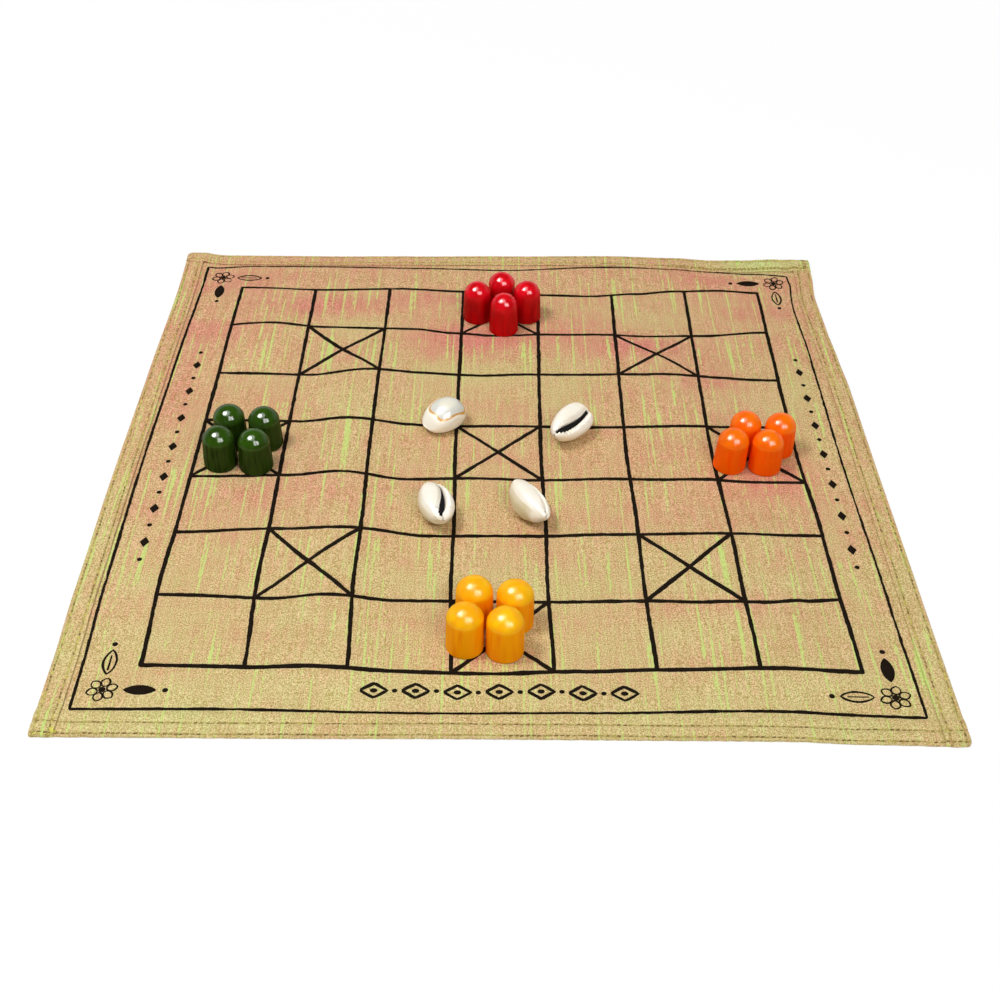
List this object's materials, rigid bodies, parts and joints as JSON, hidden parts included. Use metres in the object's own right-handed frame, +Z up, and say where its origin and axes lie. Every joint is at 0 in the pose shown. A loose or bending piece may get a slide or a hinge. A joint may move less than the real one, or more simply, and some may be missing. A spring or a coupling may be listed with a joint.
{
  "type": "ashta chemma board",
  "caption": "Hemmed silk race-game cloth printed with a grid of squares, with coloured turned-wood pawns in the edge squares and cowrie shells that are thrown as dice.",
  "frame": {"origin": "centre of the cloth's underside, on the surface it is laid on", "axes": "+X to the right and +Y away from the player at the front edge, +Z up out of the cloth's printed face"},
  "size_m": [0.358, 0.36, 0.0233],
  "materials": {
    "silk": "slubbed raw silk",
    "hem_silk": "slubbed raw silk, turned over",
    "ink": "printing ink on silk",
    "thread": "sewing thread",
    "red_lacquer": "glossy lacquer",
    "green_lacquer": "glossy lacquer",
    "orange_lacquer": "glossy lacquer",
    "yellow_lacquer": "glossy lacquer",
    "shell": "polished shell"
  },
  "bodies": {
    "board": {"ground_cloth": "silk", "left_hem": "hem_silk", "right_hem": "hem_silk", "back_hem": "hem_silk", "front_hem": "hem_silk", "left_outer_thread": "thread", "right_outer_thread": "thread", "front_outer_thread": "thread", "back_outer_thread": "thread", "left_inner_thread": "thread", "right_inner_thread": "thread", "front_inner_thread": "thread", "back_inner_thread": "thread"},
    "red_pawn_1": {"red_pawn_1": "red_lacquer"},
    "red_pawn_2": {"red_pawn_2": "red_lacquer"},
    "red_pawn_3": {"red_pawn_3": "red_lacquer"},
    "red_pawn_4": {"red_pawn_4": "red_lacquer"},
    "green_pawn_1": {"green_pawn_1": "green_lacquer"},
    "green_pawn_2": {"green_pawn_2": "green_lacquer"},
    "green_pawn_3": {"green_pawn_3": "green_lacquer"},
    "green_pawn_4": {"green_pawn_4": "green_lacquer"},
    "orange_pawn_1": {"orange_pawn_1": "orange_lacquer"},
    "orange_pawn_2": {"orange_pawn_2": "orange_lacquer"},
    "orange_pawn_3": {"orange_pawn_3": "orange_lacquer"},
    "orange_pawn_4": {"orange_pawn_4": "orange_lacquer"},
    "yellow_pawn_1": {"yellow_pawn_1": "yellow_lacquer"},
    "yellow_pawn_2": {"yellow_pawn_2": "yellow_lacquer"},
    "yellow_pawn_3": {"yellow_pawn_3": "yellow_lacquer"},
    "yellow_pawn_4": {"yellow_pawn_4": "yellow_lacquer"},
    "cowrie_1": {"cowrie_1": "shell"},
    "cowrie_2": {"cowrie_2": "shell"},
    "cowrie_3": {"cowrie_3": "shell"},
    "cowrie_4": {"cowrie_4": "shell"}
  },
  "joints": [
    {"name": "red_pawn_1_lift", "type": "slide", "parent": "board", "child": "red_pawn_1", "axis": [0, 0, 1], "range_m": [0, 0.04]},
    {"name": "red_pawn_2_lift", "type": "slide", "parent": "board", "child": "red_pawn_2", "axis": [0, 0, 1], "range_m": [0, 0.04]},
    {"name": "red_pawn_3_lift", "type": "slide", "parent": "board", "child": "red_pawn_3", "axis": [0, 0, 1], "range_m": [0, 0.04]},
    {"name": "red_pawn_4_lift", "type": "slide", "parent": "board", "child": "red_pawn_4", "axis": [0, 0, 1], "range_m": [0, 0.04]},
    {"name": "green_pawn_1_lift", "type": "slide", "parent": "board", "child": "green_pawn_1", "axis": [0, 0, 1], "range_m": [0, 0.04]},
    {"name": "green_pawn_2_lift", "type": "slide", "parent": "board", "child": "green_pawn_2", "axis": [0, 0, 1], "range_m": [0, 0.04]},
    {"name": "green_pawn_3_lift", "type": "slide", "parent": "board", "child": "green_pawn_3", "axis": [0, 0, 1], "range_m": [0, 0.04]},
    {"name": "green_pawn_4_lift", "type": "slide", "parent": "board", "child": "green_pawn_4", "axis": [0, 0, 1], "range_m": [0, 0.04]},
    {"name": "orange_pawn_1_lift", "type": "slide", "parent": "board", "child": "orange_pawn_1", "axis": [0, 0, 1], "range_m": [0, 0.04]},
    {"name": "orange_pawn_2_lift", "type": "slide", "parent": "board", "child": "orange_pawn_2", "axis": [0, 0, 1], "range_m": [0, 0.04]},
    {"name": "orange_pawn_3_lift", "type": "slide", "parent": "board", "child": "orange_pawn_3", "axis": [0, 0, 1], "range_m": [0, 0.04]},
    {"name": "orange_pawn_4_lift", "type": "slide", "parent": "board", "child": "orange_pawn_4", "axis": [0, 0, 1], "range_m": [0, 0.04]},
    {"name": "yellow_pawn_1_lift", "type": "slide", "parent": "board", "child": "yellow_pawn_1", "axis": [0, 0, 1], "range_m": [0, 0.04]},
    {"name": "yellow_pawn_2_lift", "type": "slide", "parent": "board", "child": "yellow_pawn_2", "axis": [0, 0, 1], "range_m": [0, 0.04]},
    {"name": "yellow_pawn_3_lift", "type": "slide", "parent": "board", "child": "yellow_pawn_3", "axis": [0, 0, 1], "range_m": [0, 0.04]},
    {"name": "yellow_pawn_4_lift", "type": "slide", "parent": "board", "child": "yellow_pawn_4", "axis": [0, 0, 1], "range_m": [0, 0.04]},
    {"name": "cowrie_1_lift", "type": "slide", "parent": "board", "child": "cowrie_1", "axis": [0, 0, 1], "range_m": [0, 0.04]},
    {"name": "cowrie_2_lift", "type": "slide", "parent": "board", "child": "cowrie_2", "axis": [0, 0, 1], "range_m": [0, 0.04]},
    {"name": "cowrie_3_lift", "type": "slide", "parent": "board", "child": "cowrie_3", "axis": [0, 0, 1], "range_m": [0, 0.04]},
    {"name": "cowrie_4_lift", "type": "slide", "parent": "board", "child": "cowrie_4", "axis": [0, 0, 1], "range_m": [0, 0.04]}
  ]
}
